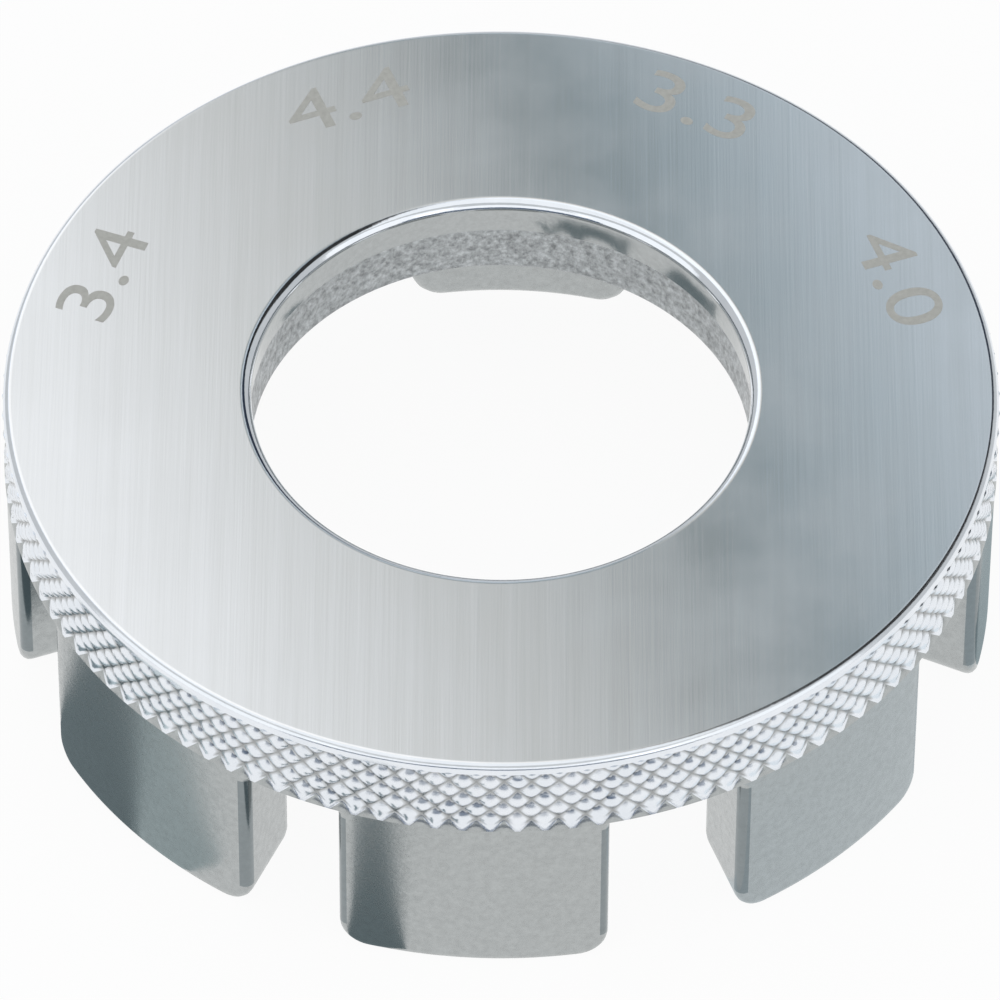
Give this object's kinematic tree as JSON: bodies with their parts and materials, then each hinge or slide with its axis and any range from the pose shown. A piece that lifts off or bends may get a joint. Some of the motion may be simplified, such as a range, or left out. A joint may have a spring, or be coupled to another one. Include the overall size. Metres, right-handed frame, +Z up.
{
  "type": "spoke wrench",
  "caption": "Round spoke wrench: a bored steel disc with a knurled rim and a ring of jaw lugs below, whose gaps grip spoke nipples of different widths.",
  "frame": {"origin": "on the bore axis, in the plane that the lugs stand on", "axes": "+Z up along the bore axis, out of the brushed top face; +X out along the slot at 0 degrees; the slots follow anticlockwise, seen from above"},
  "size_m": [0.04, 0.04, 0.012],
  "materials": {
    "brushed_face": "plated steel, brushed in one direction",
    "bright_rim": "bright plating over the knurl",
    "satin_lug": "satin plating over a grainy surface"
  },
  "bodies": {
    "root": {"top_disc": "brushed_face", "knurled_rim": "bright_rim", "jaw_lug_1": "satin_lug", "jaw_lug_2": "satin_lug", "jaw_lug_3": "satin_lug", "jaw_lug_4": "satin_lug", "jaw_lug_5": "satin_lug", "jaw_lug_6": "satin_lug", "jaw_lug_7": "satin_lug", "jaw_lug_8": "satin_lug"}
  },
  "joints": []
}
